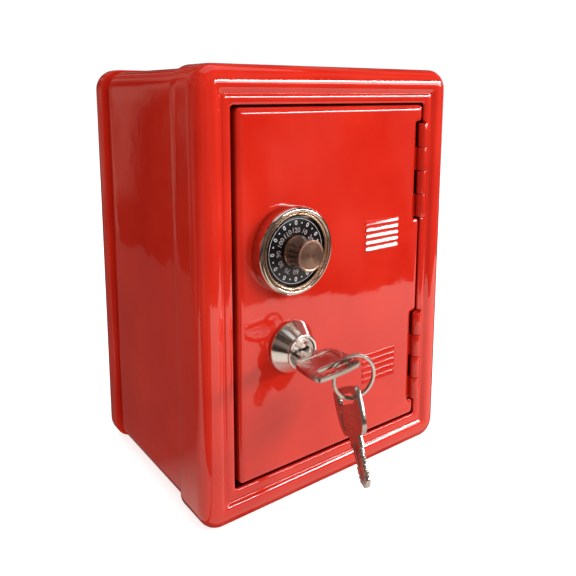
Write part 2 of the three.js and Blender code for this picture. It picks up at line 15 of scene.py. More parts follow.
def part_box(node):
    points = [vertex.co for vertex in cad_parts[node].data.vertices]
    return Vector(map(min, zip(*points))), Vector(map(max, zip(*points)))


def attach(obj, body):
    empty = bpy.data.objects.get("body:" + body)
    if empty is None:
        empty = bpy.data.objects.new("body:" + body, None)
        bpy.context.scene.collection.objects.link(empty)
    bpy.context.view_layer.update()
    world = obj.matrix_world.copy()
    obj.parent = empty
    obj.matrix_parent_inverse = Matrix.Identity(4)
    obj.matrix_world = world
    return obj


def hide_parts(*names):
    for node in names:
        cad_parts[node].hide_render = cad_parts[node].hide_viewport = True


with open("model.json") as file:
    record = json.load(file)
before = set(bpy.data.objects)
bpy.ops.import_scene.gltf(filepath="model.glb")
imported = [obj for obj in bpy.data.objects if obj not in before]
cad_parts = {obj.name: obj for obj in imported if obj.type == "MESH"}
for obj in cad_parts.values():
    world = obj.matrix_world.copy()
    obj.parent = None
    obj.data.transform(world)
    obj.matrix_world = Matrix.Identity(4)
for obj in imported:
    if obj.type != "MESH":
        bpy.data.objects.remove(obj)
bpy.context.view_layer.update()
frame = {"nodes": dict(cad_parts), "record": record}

MM = 0.001
FRONT = Vector((0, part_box("front_frame")[0].y, 0))


def drawn_box(node):
    low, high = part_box(node)
    return (low - FRONT) / MM, (high - FRONT) / MM


def drawn_centre(node):
    low, high = drawn_box(node)
    return (low + high) / 2


def in_metres(point):
    return Vector(point) * MM + FRONT


# Places and sizes that the frame gives.
FRAME_LOW, FRAME_HIGH = drawn_box("front_frame")
SLEEVE_LOW, SLEEVE_HIGH = drawn_box("body_sleeve")
COVER_LOW, COVER_HIGH = drawn_box("rear_cover")
DOOR_LOW, DOOR_HIGH = drawn_box("door_panel")
DIAL = drawn_centre("dial_bezel")
LOCK = drawn_centre("lock_body")
LOCK_FACE = drawn_box("lock_body")[0].y
PIN = drawn_centre("upper_hinge_pin")
HINGES = {place: drawn_centre(place + "_hinge_pin").z for place in ("upper", "lower")}
KEY_BOX = drawn_box("key_in_lock")
RING = drawn_centre("key_ring")

# Sizes of the pressed sheets, the hinges, the ribs and the coin slot.
SHEET = 0.9
CORNER_RADIUS = 9
FACE_WIDTH = 14.7
DOOR_FACE = 1.2
DOOR_SHEET = 0.8
HINGE_HALF = 21.6
NOTCH_HALF = HINGE_HALF + 0.6
NOTCH_SIDE = 3.3
BARREL_RADIUS = 2.15
LEAF_SHEET = 0.8
LEAF_BACK = 3.5
LEAF_OFF_PIN = 2.9
KNUCKLES = 4
KNUCKLE_GAP = 0.3
RIBS = 5
RIB_PITCH = 2.9
RIB_RADIUS = 1.05
RIB_FLAT = 0.72
RIB_RISE = 0.5
RIB_SLOPE = math.tan(math.radians(21))
RIB_HALF_LENGTH = 10.2
RIB_CENTRE_X = 25.8
RIB_GROUPS_Z = (108.1, 47)
SLOT_HALF_LENGTH = 18
SLOT_HALF_WIDTH = 2.4
SLOT_Y = 52
SLOT_LIP = 0.9


# ---------------------------------------------------------------- meshes

class Drawing:
    """Points and faces of one piece, collected from several skins."""

    def __init__(self):
        self.points = []
        self.faces = []

    def add(self, points, faces):
        start = len(self.points)
        self.points.extend(Vector(p) for p in points)
        self.faces.extend([start + i for i in face] for face in faces)
        return self

    def skin(self, loops, closed=False, fill_first=False, fill_last=False):
        """Quads between neighbouring loops of the same length."""
        count = len(loops[0])
        points = [p for loop in loops for p in loop]
        faces = []
        for i in range(len(loops) if closed else len(loops) - 1):
            a, b = i * count, (i + 1) % len(loops) * count
            for j in range(count):
                k = (j + 1) % count
                faces.append([a + j, a + k, b + k, b + j])
        if fill_first:
            faces.append(list(range(count))[::-1])
        if fill_last:
            faces.append([(len(loops) - 1) * count + j for j in range(count)])
        return self.add(points, faces)

    def moved(self, matrix):
        self.points = [matrix @ p for p in self.points]
        return self


def piece(name, drawing, material, body, replaces=(), sharp=35, weld=0.0):
    """Makes the object of a drawing, smooth but for its sharp edges, and hands it to its body and slot."""
    mesh = bpy.data.meshes.new(name)
    mesh.from_pydata([in_metres(p) for p in drawing.points], [], drawing.faces)
    obj = bpy.data.objects.new(name, mesh)
    bpy.context.scene.collection.objects.link(obj)
    finish_mesh(obj, sharp, weld)
    mesh.materials.append(material)
    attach(obj, body)
    if replaces:
        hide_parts(*replaces)
    return obj


def finish_mesh(obj, sharp, weld=0.0):
    work = bmesh.new()
    work.from_mesh(obj.data)
    if weld:
        bmesh.ops.remove_doubles(work, verts=work.verts, dist=weld * MM)
    bmesh.ops.recalc_face_normals(work, faces=work.faces)
    for face in work.faces:
        face.smooth = True
    work.to_mesh(obj.data)
    work.free()
    obj.data.set_sharp_from_angle(angle=math.radians(sharp))


def apply_modifiers(obj):
    graph = bpy.context.evaluated_depsgraph_get()
    old = obj.data
    obj.data = bpy.data.meshes.new_from_object(obj.evaluated_get(graph))
    obj.data.name = old.name
    obj.modifiers.clear()
    bpy.data.meshes.remove(old)


def arc(centre, radius, start, end, steps):
    """Points on an arc, in degrees, both ends included."""
    for i in range(steps + 1):
        angle = math.radians(start + (end - start) * i / steps)
        yield centre[0] + radius * math.cos(angle), centre[1] + radius * math.sin(angle)


def smooth_line(points, steps=4):
    """A Catmull-Rom curve through the points of a profile."""
    ends = [points[0], *points, points[-1]]
    line = []
    for i in range(1, len(ends) - 2):
        p0, p1, p2, p3 = (Vector(ends[i + k]) for k in (-1, 0, 1, 2))
        for k in range(steps):
            t = k / steps
            line.append(tuple(0.5 * (2 * p1 + (p2 - p0) * t + (2 * p0 - 5 * p1 + 4 * p2 - p3) * t * t
                                     + (3 * p1 - p0 - 3 * p2 + p3) * t ** 3)))
    return line + [tuple(points[-1])]


def turned(profile, centre, face_y, segments=96, closed=True):
    """A lathe about Y. A profile point is (radius, height above face_y), and heights point to the viewer."""
    loops = []
    for radius, height in profile:
        loops.append([
            (centre.x + radius * math.cos(a), face_y - height, centre.z + radius * math.sin(a))
            for a in (2 * math.pi * i / segments for i in range(segments))
        ])
    return Drawing().skin(loops, closed=closed)


def rounded_box(box, inset, corner_radius, corner_steps, side_steps, smallest=1.5):
    """A rounded rectangle in x and z, from the bottom right corner on, with its straight sides divided."""
    left, right, bottom, top = box
    radius = max(corner_radius - inset, smallest)
    centres = [
        (right - inset - radius, bottom + inset + radius), (right - inset - radius, top - inset - radius),
        (left + inset + radius, top - inset - radius), (left + inset + radius, bottom + inset + radius),
    ]
    corners = [list(arc(c, radius, -90 + 90 * i, 90 * i, corner_steps)) for i, c in enumerate(centres)]
    sides = []
    for i, corner in enumerate(corners):
        start, end = Vector(corner[-1]), Vector(corners[(i + 1) % 4][0])
        sides.append([tuple(start.lerp(end, k / side_steps)) for k in range(1, side_steps)])
    return corners, sides


def notch_line(reach, depth, mouth, bottom, grown=0.0):
    """(z, depth) along an edge with a notch for each hinge, lowest first. mouth and bottom are its radii."""
    line = []
    for centre in sorted(HINGES.values()):
        wall = centre - reach - grown
        half = [(z, d) for z, d in arc((wall - mouth, mouth), mouth, -90, 0, 4)]
        half += [(z, d) for z, d in arc((wall + bottom, depth - bottom), bottom, 180, 90, 5)]
        half += [(wall + bottom + (centre - wall - bottom) * k / 4, depth) for k in range(1, 4)]
        line += half + [(2 * centre - z, d) for z, d in reversed(half)]
    return line


# ---------------------------------------------------------------- materials

class Nodes:
    """A short way to write a material's node tree."""

    def __init__(self, name):
        self.material = bpy.data.materials.new(name)
        self.material.use_nodes = True
        self.tree = self.material.node_tree
        self.shader = self.tree.nodes["Principled BSDF"]
        self.place = self.new("ShaderNodeTexCoord").outputs["Object"]

    def new(self, kind, **values):
        node = self.tree.nodes.new(kind)
        for key, value in values.items():
            setattr(node, key, value)
        return node

    def link(self, source, target):
        self.tree.links.new(source, target)

    def noise(self, scale, detail, stretch=None):
        node = self.new("ShaderNodeTexNoise")
        node.inputs["Scale"].default_value = scale
        node.inputs["Detail"].default_value = detail
        place = self.place
        if stretch:
            mapping = self.new("ShaderNodeMapping")
            mapping.inputs["Scale"].default_value = stretch
            self.link(place, mapping.inputs["Vector"])
            place = mapping.outputs["Vector"]
        self.link(place, node.inputs["Vector"])
        return node.outputs["Fac"]

    def spread(self, source, low, high, from_low=0.3, from_high=0.7):
        node = self.new("ShaderNodeMapRange")
        node.inputs["From Min"].default_value = from_low
        node.inputs["From Max"].default_value = from_high
        node.inputs["To Min"].default_value = low
        node.inputs["To Max"].default_value = high
        self.link(source, node.inputs["Value"])
        return node.outputs["Result"]

    def colours(self, source, first, second, low=0.35, high=0.65):
        node = self.new("ShaderNodeValToRGB")
        node.color_ramp.elements[0].position = low
        node.color_ramp.elements[0].color = (*first, 1)
        node.color_ramp.elements[1].position = high
        node.color_ramp.elements[1].color = (*second, 1)
        self.link(source, node.inputs["Fac"])
        return node.outputs["Color"]

    def bump(self, layers):
        """Layers of (height source, distance in metres), from the broadest to the finest."""
        normal = None
        for source, distance in layers:
            node = self.new("ShaderNodeBump")
            node.inputs["Strength"].default_value = 1.0
            node.inputs["Distance"].default_value = distance
            self.link(source, node.inputs["Height"])
            if normal:
                self.link(normal, node.inputs["Normal"])
            normal = node.outputs["Normal"]
        self.link(normal, self.shader.inputs["Normal"])

    def set(self, **values):
        for key, value in values.items():
            self.shader.inputs[key.replace("_", " ")].default_value = value


def enamel(name):
    """Thick gloss enamel on pressed steel: slow waves in the sheet, fine orange peel in the paint."""
    n = Nodes(name)
    n.set(Metallic=0.0, IOR=1.5, Coat_Weight=0.3, Coat_Roughness=0.04)
    reds = n.colours(n.noise(30, 3), (0.61, 0.017, 0.0075), (0.69, 0.024, 0.0105))
    n.link(reds, n.shader.inputs["Base Color"])
    n.link(n.spread(n.noise(120, 4), 0.03, 0.07), n.shader.inputs["Roughness"])
    n.bump([(n.noise(22, 1), 0.00012), (n.noise(85, 2), 0.000045), (n.noise(210, 2), 0.000022),
            (n.noise(620, 2), 0.000003)])
    return n.material


def metal(name, first, second, low, high, grain=900, stretch=None, depth=0.000002, scale=60):
    """Plated or bare metal: tone and polish vary slowly, with a fine grain."""
    n = Nodes(name)
    n.set(Metallic=1.0)
    n.link(n.colours(n.noise(scale, 3), first, second), n.shader.inputs["Base Color"])
    n.link(n.spread(n.noise(scale * 3, 4), low, high), n.shader.inputs["Roughness"])
    n.bump([(n.noise(grain, 2, stretch), depth)])
    return n.material


def glossy_black(name):
    n = Nodes(name)
    n.set(Metallic=0.0, IOR=1.45, Specular_IOR_Level=0.35)
    blacks = n.colours(n.noise(90, 2), (0.006, 0.0045, 0.0045), (0.011, 0.0085, 0.0085))
    n.link(blacks, n.shader.inputs["Base Color"])
    n.link(n.spread(n.noise(300, 3), 0.16, 0.26), n.shader.inputs["Roughness"])
    n.bump([(n.noise(700, 2), 0.000002)])
    return n.material


def print_ink(name, first, second):
    n = Nodes(name)
    n.set(Metallic=0.0, IOR=1.45)
    n.link(n.colours(n.noise(900, 3), first, second), n.shader.inputs["Base Color"])
    n.link(n.spread(n.noise(700, 2), 0.35, 0.55), n.shader.inputs["Roughness"])
    n.bump([(n.noise(2200, 2), 0.000002)])
    return n.material


PAINT = enamel("red_enamel")
CHROME = metal("chrome_plate", (0.70, 0.67, 0.64), (0.80, 0.78, 0.75), 0.12, 0.20)
# The bezel chrome's warm brown tint is painted reflection of the brown room and the red door.
CHROME_PAINTED_BROWN_REFLECTION = metal("warm_chrome", (0.58, 0.48, 0.42), (0.70, 0.60, 0.53), 0.07, 0.14)
# The knob's red-brown tint is painted reflection of the red door and the brown room; its satin polish is
# real.
KNOB = metal("satin_chrome", (0.42, 0.25, 0.185), (0.52, 0.33, 0.25), 0.22, 0.34)
NICKEL = metal("worn_nickel", (0.40, 0.34, 0.31), (0.56, 0.50, 0.46), 0.16, 0.30, 1400, (1, 1, 6), 0.000004)
ZINC = metal("zinc_plate", (0.46, 0.48, 0.50), (0.62, 0.63, 0.62), 0.28, 0.45, 1100, None, 0.000005, 200)
BRASS = metal("brass", (0.62, 0.44, 0.18), (0.75, 0.56, 0.28), 0.22, 0.36, 1100, None, 0.000004, 150)
TAN = metal("tan_ring", (0.62, 0.45, 0.32), (0.74, 0.56, 0.42), 0.18, 0.30)
BLACK = glossy_black("black_dial")
INK = print_ink("white_print", (0.52, 0.49, 0.52), (0.70, 0.67, 0.70))
DULL_INK = print_ink("grey_print", (0.30, 0.24, 0.25), (0.42, 0.35, 0.36))


# ---------------------------------------------------------------- cabinet

def make_front_frame():
    """Deep flange, broad bullnose, a thin valley and a bead that turns back at the opening."""
    box = (FRAME_LOW.x, FRAME_HIGH.x, 0, FRAME_HIGH.z)
    depth = FRAME_HIGH.y
    outside = [(0.7, depth), (0.3, depth - 0.12), (0.08, depth - 0.4), (0, depth - 0.9)]
    outside += [(0, 14), (0, 8), (0, 5.6)]
    outside += smooth_line([
        (0.06, 4.9), (0.5, 3.3), (1.35, 1.95), (2.4, 1.15), (3.6, 0.62), (5, 0.24), (6.4, 0.04), (7.6, 0.02),
        (8.7, 0.3), (9.6, 0.85), (10.25, 1.32), (10.6, 1.42), (10.95, 1.3), (11.5, 1.12), (12.3, 1.02),
        (13.2, 1.08), (14, 1.3), (14.5, 1.6), (FACE_WIDTH, 1.95),
    ])
    inside = [
        (FACE_WIDTH, 2.4), (13.9, 2.45), (13.2, 2.0), (12.3, 1.95), (10.6, 2.35), (8.7, 1.4),
        (6.4, 1.0), (3.6, 1.4), (2.2, 2.1), (1.4, 3.4), (SHEET, 5.6), (SHEET, 14), (SHEET, depth),
    ]
    bead_start, past_notches = 10.8, 6
    notch_depth = PIN.x + NOTCH_SIDE - (FRAME_HIGH.x - FACE_WIDTH)
    line = notch_line(NOTCH_HALF, notch_depth, 0.7, 1.0)
    first, last = line[0][0] - past_notches, line[-1][0] + past_notches
    loops = []
    for inset, y in outside + inside:
        corners, sides = rounded_box(box, inset, CORNER_RADIUS, 12, 14)
        share = min(max((inset - bead_start) / (FACE_WIDTH - bead_start), 0), 1)
        edge = FRAME_HIGH.x - inset
        stations = [(first, 0)] + line + [(last, 0)]
        right = []
        for k, (z, notch) in enumerate(stations):
            even = first + (last - first) * k / (len(stations) - 1)
            right.append((edge + notch * share, even + (z - even) * share))
        loop = corners[0] + right + corners[1] + sides[1] + corners[2] + sides[2] + corners[3] + sides[3]
        loops.append([(x, y, z) for x, z in loop])
    piece("front_frame_pressing", Drawing().skin(loops, closed=True), PAINT, "cabinet",
          ["front_frame"], sharp=50)


def dent(y, z, spots):
    """How far a sheet is pushed in by shallow dents, each (y, z, radius, depth)."""
    push = 0
    for spot_y, spot_z, radius, depth in spots:
        distance = ((y - spot_y) ** 2 + (z - spot_z) ** 2) / radius ** 2
        push += depth * math.exp(-distance)
    return push


def stadium(half_length, offset, arc_steps=8, side_steps=6):
    """An oblong about the origin, offset mm out from its middle line."""
    points = list(arc((half_length, 0), offset, -90, 90, arc_steps))
    points += [(half_length - 2 * half_length * k / side_steps, offset) for k in range(1, side_steps)]
    points += arc((-half_length, 0), offset, 90, 270, arc_steps)
    points += [(-half_length + 2 * half_length * k / side_steps, -offset) for k in range(1, side_steps)]
    return points


def make_body_sleeve():
    """Four sides in one wrap with a rolled rear edge, and a coin slot with a rolled lip in its top."""
    box = (SLEEVE_LOW.x, SLEEVE_HIGH.x, SLEEVE_LOW.z, SLEEVE_HIGH.z)
    start, end = SLEEVE_LOW.y, SLEEVE_HIGH.y
    roll = 6.5
    flat = [start + (end - roll - start) * k / 16 for k in range(17)]
    profile = [(0, y) for y in flat]
    profile += smooth_line([(0.03, end - 5.6), (0.25, end - 4.2), (0.75, end - 2.4),
                            (1.35, end - 0.9), (1.9, end - 0.1)])
    profile += [(2.4, end), (2.7, end - 0.3), (2.0, end - 1.6), (1.2, end - 3.6), (SHEET, end - roll)]
    profile += [(SHEET, y) for y in reversed(flat)]
    dents = [(84, 103, 2.6, 0.22), (58, 97, 3.2, 0.25), (44, 93, 3.0, 0.3),
             (26, 141, 2.6, -0.3), (30, 104, 3.5, 0.25)]
    left_side = box[0] + SHEET + 0.1
    loops = []
    for inset, y in profile:
        corners, sides = rounded_box(box, inset, CORNER_RADIUS - 1.2, 10, 24)
        line = []
        for corner, side in zip(corners, sides):
            line += corner + side
        loops.append([
            (x + (dent(y, z, dents) if x < left_side and 10 < z < 170 else 0), y, z) for x, z in line
        ])
    sleeve = piece("body_sleeve_wrap", Drawing().skin(loops, closed=True), PAINT, "cabinet",
                   ["body_sleeve"], sharp=50)
    make_coin_slot(sleeve, box[3])


def make_coin_slot(sleeve, top):
    """Cuts the slot through the sleeve's top and adds its lip, which rolls down into the hole."""
    middle = SLOT_HALF_LENGTH - SLOT_HALF_WIDTH
    cutter_loops = [
        [(x, SLOT_Y + y, z) for x, y in stadium(middle, SLOT_HALF_WIDTH + SLOT_LIP)]
        for z in (top - 6, top + 6)
    ]
    cut_hole(sleeve, Drawing().skin(cutter_loops, fill_first=True, fill_last=True))
    rim = [(SLOT_LIP - offset, top - SLOT_LIP + height) for offset, height in arc((0, 0), SLOT_LIP, 90, 0, 6)]
    rim += [(0, top - 3), (SHEET, top - 3), (SHEET, top - 2)]
    rim_loops = [
        [(x, SLOT_Y + y, z) for x, y in stadium(middle, SLOT_HALF_WIDTH + offset)] for offset, z in rim
    ]
    piece("coin_slot_lip", Drawing().skin(rim_loops), PAINT, "cabinet")


def cut_hole(obj, drawing):
    """Takes a closed drawing out of a piece."""
    mesh = bpy.data.meshes.new("cutter")
    mesh.from_pydata([in_metres(p) for p in drawing.points], [], drawing.faces)
    cutter = bpy.data.objects.new("cutter", mesh)
    bpy.context.scene.collection.objects.link(cutter)
    finish_mesh(cutter, 30)
    modifier = obj.modifiers.new("hole", "BOOLEAN")
    modifier.object = cutter
    modifier.operation = "DIFFERENCE"
    modifier.solver = "EXACT"
    apply_modifiers(obj)
    bpy.data.objects.remove(cutter)
    bpy.data.meshes.remove(mesh)


def make_rear_cover():
    """A shallow pan with a hemmed rim and a spigot that goes into the sleeve."""
    box = (COVER_LOW.x, COVER_HIGH.x, COVER_LOW.z, COVER_HIGH.z)
    rim, back, spigot = SLEEVE_HIGH.y + 0.6, COVER_HIGH.y, 5.3
    rounding, hem = 7.5, 0.7
    radius = rounding - 0.5
    outer = [(rounding + 3, back), (rounding + 1, back)]
    outer += [(radius - dx, back - radius + dy) for dx, dy in arc((0, 0), radius, 90, 0, 12)]
    outer += [(0, y) for y in (back - 9, rim + 1.2)] + list(arc((hem, rim + hem), hem, 180, 270, 5))
    spigot_line = [(spigot, rim), (spigot, COVER_LOW.y), (spigot + SHEET, COVER_LOW.y),
                   (spigot + SHEET, rim + SHEET)]
    inner = [(SHEET, rim + SHEET), (SHEET, back - rounding)]
    inner += [(rounding - dx, back - rounding + dy) for dx, dy in arc((0, 0), rounding - SHEET, 0, 90, 8)]
    loops = []
    for inset, y in outer + spigot_line + inner:
        corners, sides = rounded_box(box, inset, CORNER_RADIUS, 10, 10)
        line = []
        for corner, side in zip(corners, sides):
            line += corner + side
        loops.append([(x, y, z) for x, z in line])
    pan = Drawing().skin(loops, fill_first=True, fill_last=True)
    piece("rear_cover_pan", pan, PAINT, "cabinet", ["rear_cover"], sharp=50)


# ---------------------------------------------------------------- door

def make_door():
    """A pan with rounded edges, hinge notches, two groups of ribs, and holes for the dial and lock."""
    right = DOOR_HIGH.x
    box = (DOOR_LOW.x, right, DOOR_LOW.z, DOOR_HIGH.z)
    depth = right - (PIN.x - NOTCH_SIDE)
    corner_radius, smallest = 2.0, 0.4
    profile = [(0, DOOR_HIGH.y), (0, 5), (0, 3.2)]
    crown = [(0.02, 1.6), (0.14, 1.12), (0.40, 0.75), (0.85, 0.47), (1.35, 0.26), (1.85, 0.11), (2.3, 0.03),
             (2.7, 0)]
    profile += [(inset, DOOR_FACE + drop) for inset, drop in smooth_line(crown, 2)]
    loops = []
    for inset, y in profile:
        corners, sides = rounded_box(box, inset, corner_radius, 8, 12, smallest)
        notches = notch_line(NOTCH_HALF, depth, max(corner_radius - inset, smallest), 0.7 + inset, inset)
        side = [(right - inset - notch, z) for z, notch in notches]
        loop = corners[0] + side + corners[1] + sides[1] + corners[2] + sides[2] + corners[3] + sides[3]
        loops.append([(x, y, z) for x, z in loop])
    door = Drawing().skin(loops)

    bores = ((DIAL, 5.3), (LOCK, 8.3))
    holes = [[(part.x + x, part.z + z) for x, z in circle(radius)] for part, radius in bores]
    shoulder = RIB_RADIUS - RIB_FLAT
    rib_profile = [(RIB_RADIUS + 0.2, 0), (RIB_RADIUS + 0.1, 0.03), (RIB_RADIUS + 0.02, 0.12)]
    rib_profile += [(RIB_FLAT + dx, dy / shoulder) for dx, dy in arc((0, 0), shoulder, 18, 90, 5)]
    rib_profile += [(0.4, 1), (0.03, 1)]
    for middle in RIB_GROUPS_Z:
        for i in range(RIBS):
            z0 = middle + (i - (RIBS - 1) / 2) * RIB_PITCH
            half = RIB_HALF_LENGTH - RIB_RADIUS
            rings = [
                [(RIB_CENTRE_X + x, DOOR_FACE - height * (RIB_RISE - RIB_SLOPE * z), z0 + z)
                 for x, z in stadium(half, offset, 8, 5)]
                for offset, height in rib_profile
            ]
            door.skin(rings, fill_last=True)
            holes.append([(x, z) for x, _, z in rings[0]])
    outline_points = [(x, z) for x, _, z in loops[-1]]
    door.add(*flat_sheet(outline_points, holes, DOOR_FACE))

    obj = piece("door_pressing", door, PAINT, "door", ["door_panel"], sharp=50, weld=0.002)
    aim_outwards(obj)
    sheet = obj.modifiers.new("sheet", "SOLIDIFY")
    sheet.thickness = DOOR_SHEET * MM
    sheet.offset = -1
    sheet.use_even_offset = False
    apply_modifiers(obj)
    obj.data.set_sharp_from_angle(angle=math.radians(50))


def aim_outwards(obj):
    """Turns an open sheet's faces so that its largest ones point to -Y."""
    largest = max(obj.data.polygons, key=lambda face: face.area)
    if largest.normal.y > 0:
        obj.data.flip_normals()


def circle(radius, steps=32):
    angles = [2 * math.pi * i / steps for i in range(steps)]
    return [(radius * math.cos(a), radius * math.sin(a)) for a in angles]


def flat_sheet(outline_points, holes, y):
    """Triangles that fill an outline in x and z but for its holes."""
    points, edges = [], []
    for loop in [outline_points] + holes:
        start = len(points)
        points += [Vector(p) for p in loop]
        edges += [(start + i, start + (i + 1) % len(loop)) for i in range(len(loop))]
    result = delaunay_2d_cdt(points, edges, [], 2, 1e-5)
    return [(p.x, y, p.y) for p in result[0]], [list(face) for face in result[2]]


def knuckle(z_from, z_to):
    """A rolled barrel round the pin, with its ends eased."""
    outer, bore, ease = BARREL_RADIUS, 1.3, 0.3
    profile = [(bore, z_from), (outer - ease, z_from), (outer - 0.08, z_from + 0.1), (outer, z_from + ease),
               (outer, z_to - ease), (outer - 0.08, z_to - 0.1), (outer - ease, z_to), (bore, z_to)]
    loops = [[(PIN.x + radius * math.cos(a), PIN.y + radius * math.sin(a), z)
              for a in (2 * math.pi * i / 40 for i in range(40))] for radius, z in profile]
    return Drawing().skin(loops, closed=True)


def slab(low, high, ease=0.12):
    """A plate with eased edges, given by its lowest and highest corners."""
    low, high = Vector(low), Vector(high)
    loops = []
    for inset, y in ((ease, low.y), (0, low.y + ease), (0, high.y - ease), (ease, high.y)):
        box = (low.x, high.x, low.z, high.z)
        corners, _ = rounded_box(box, inset, 1.2, 4, 1, smallest=0.6)
        loops.append([(x, y, z) for corner in corners for x, z in corner])
    return Drawing().skin(loops, fill_first=True, fill_last=True)


def make_hinges():
    """Each hinge has a leaf behind the door and one behind the frame, and their knuckles alternate."""
    length = 2 * HINGE_HALF / KNUCKLES
    front, back = LEAF_BACK - LEAF_SHEET, LEAF_BACK
    for place, centre in HINGES.items():
        for body, side, first in (("door", -1, 0), ("cabinet", 1, 1)):
            node = f"{place}_hinge_{'door' if body == 'door' else 'frame'}_leaf"
            low, high = drawn_box(node)
            near = PIN.x + side * LEAF_OFF_PIN
            far = low.x if side < 0 else high.x
            leaf = slab((min(near, far), front, centre - HINGE_HALF + KNUCKLE_GAP / 2),
                        (max(near, far), back, centre + HINGE_HALF - KNUCKLE_GAP / 2))
            for k in range(first, KNUCKLES, 2):
                z_from = centre - HINGE_HALF + k * length + KNUCKLE_GAP / 2
                z_to = z_from + length - KNUCKLE_GAP
                barrel = knuckle(z_from, z_to)
                leaf.add(barrel.points, barrel.faces)
                tab = slab((min(PIN.x, near + side), front, z_from), (max(PIN.x, near + side), back, z_to))
                leaf.add(tab.points, tab.faces)
            piece(node + "_rolled", leaf, PAINT, body, [node], sharp=40)


# ---------------------------------------------------------------- dial

DISC_TOP = 4.4
DISC_RADIUS = 13.7
KNOB_TOP = 14
SPINDLE_BORE = 3.3


def make_bezel():
    """A chrome cup with a rolled rim, and a tan ring inside a thin groove, with an index nick at the top."""
    cup = [(8.5, 0.3), (17.5, 0.3), (17.8, 0.6), (17.8, 3.6)]
    cup += smooth_line([(17.78, 4.2), (17.6, 4.9), (17.25, 5.5), (16.7, 5.9), (16.15, 5.97), (15.75, 5.75),
                        (15.5, 5.3)])
    cup += [(15.42, 4.7), (15.3, 4.6), (14.3, 4.3), (14.2, 1.3), (8.5, 1.3)]
    piece("dial_bezel_cup", turned(cup, DIAL, DOOR_FACE, 128), CHROME_PAINTED_BROWN_REFLECTION, "door",
          ["dial_bezel"], 40)
    ring = [(15.24, 4.65)]
    ring += smooth_line([(15.22, 5.2), (15.05, 5.5), (14.8, 5.52), (14.5, 5.3), (14.28, 4.95)], 3)
    ring += [(14.22, 4.35)]
    inner = turned(ring, DIAL, DOOR_FACE, 240, closed=False)
    nick_half, nick_depth, nick_from = 0.55, 0.45, 4.7
    for p in inner.points:
        across = abs(p.x - DIAL.x)
        if p.z > DIAL.z and across < nick_half and DOOR_FACE - p.y > nick_from:
            p.y += nick_depth * (1 - across / nick_half)
    piece("dial_bezel_ring", inner, TAN, "door")


def make_disc():
    """The black dial plate, with its circle, marks and numbers printed on it."""
    low, top = DISC_TOP - 1.2, DISC_TOP
    plate = [(SPINDLE_BORE, low), (DISC_RADIUS - 0.1, low), (DISC_RADIUS, low + 0.1),
             (DISC_RADIUS, top - 0.2), (DISC_RADIUS - 0.06, top - 0.06), (DISC_RADIUS - 0.2, top),
             (SPINDLE_BORE, top)]
    piece("dial_plate", turned(plate, DIAL, DOOR_FACE), BLACK, "dial", ["dial_disc"], 40)
    circle_line = [(12.82, top), (12.82, top + 0.02), (12.98, top + 0.02), (12.98, top)]
    ink = turned(circle_line, DIAL, DOOR_FACE, closed=False)
    for i in range(12):
        add_mark(ink, "0", 2.5, 11.2, i * 30, 0.06)
        dot = turned([(0.36, 0), (0.34, 0.02), (0.02, 0.02)], Vector((0, 0, 0)), 0, 14, closed=False)
        dot.moved(on_dial(11.25, i * 30 + 15))
        ink.add(dot.points, dot.faces)
    piece("dial_print", ink, INK, "dial")
    numbers = Drawing()
    for i in range(1, 13):
        add_mark(numbers, str(10 * i), 2.75, 8.25, i * 30, 0.03)
    piece("dial_numbers", numbers, DULL_INK, "dial")


def on_dial(radius, clock):
    """Where a print at that radius goes, upright when it is at the top. clock is in degrees, clockwise."""
    a = math.radians(clock)
    across, out = Vector((math.cos(a), 0, -math.sin(a))), Vector((math.sin(a), 0, math.cos(a)))
    spot = Vector((DIAL.x, DOOR_FACE - DISC_TOP, DIAL.z)) + out * radius
    matrix = Matrix((across, Vector((0, 1, 0)), out)).transposed().to_4x4()
    matrix.translation = spot
    return matrix


def add_mark(drawing, text, size, radius, clock, weight):
    """Adds a numeral, printed thick enough to see, that stands on the circle of that radius."""
    thickness = 0.012
    curve = bpy.data.curves.new("mark", "FONT")
    curve.body = text
    curve.size = size
    curve.offset = weight
    curve.extrude = thickness
    curve.align_x = "CENTER"
    curve.align_y = "CENTER"
    curve.resolution_u = 3
    obj = bpy.data.objects.new("mark", curve)
    bpy.context.scene.collection.objects.link(obj)
    mesh = bpy.data.meshes.new_from_object(obj.evaluated_get(bpy.context.evaluated_depsgraph_get()))
    place = on_dial(radius, clock)
    points = [place @ Vector((v.co.x, -v.co.z - thickness, v.co.y)) for v in mesh.vertices]
    drawing.add(points, [list(face.vertices) for face in mesh.polygons])
    bpy.data.objects.remove(obj)
    bpy.data.curves.remove(curve)
    bpy.data.meshes.remove(mesh)


def make_knob():
    """A turned knob with a flared foot, a waist and fine rings on its face."""
    foot = DISC_TOP + 0.3
    profile = [(SPINDLE_BORE, foot), (6.2, foot)]
    profile += smooth_line([
        (6.4, foot + 0.2), (6.38, foot + 0.6), (6.1, foot + 1.2), (5.75, foot + 2.4), (5.6, foot + 4),
        (5.62, foot + 6), (5.85, foot + 7.6), (6.1, foot + 8.4), (6.2, foot + 8.8),
    ])
    profile += [(x, y) for x, y in arc((5.95, KNOB_TOP - 0.25), 0.25, 0, 90, 4)]
    dish, sunk = 5.3, KNOB_TOP - 0.15
    profile += [(5.6, KNOB_TOP), (5.45, KNOB_TOP - 0.12), (dish, sunk)]
    steps, ring_pitch, ring_height = 72, 0.88, 0.016
    for i in range(1, steps):
        radius = dish * (1 - i / steps)
        profile.append((radius, sunk + ring_height * (1 - math.cos(radius * 2 * math.pi / ring_pitch))))
    piece("dial_knob_turned", turned(profile, DIAL, DOOR_FACE, 96, closed=False), KNOB, "dial",
          ["dial_knob"], 40)


# ---------------------------------------------------------------- lock

PLUG_TILT = -4
THREAD_PITCH = 0.95


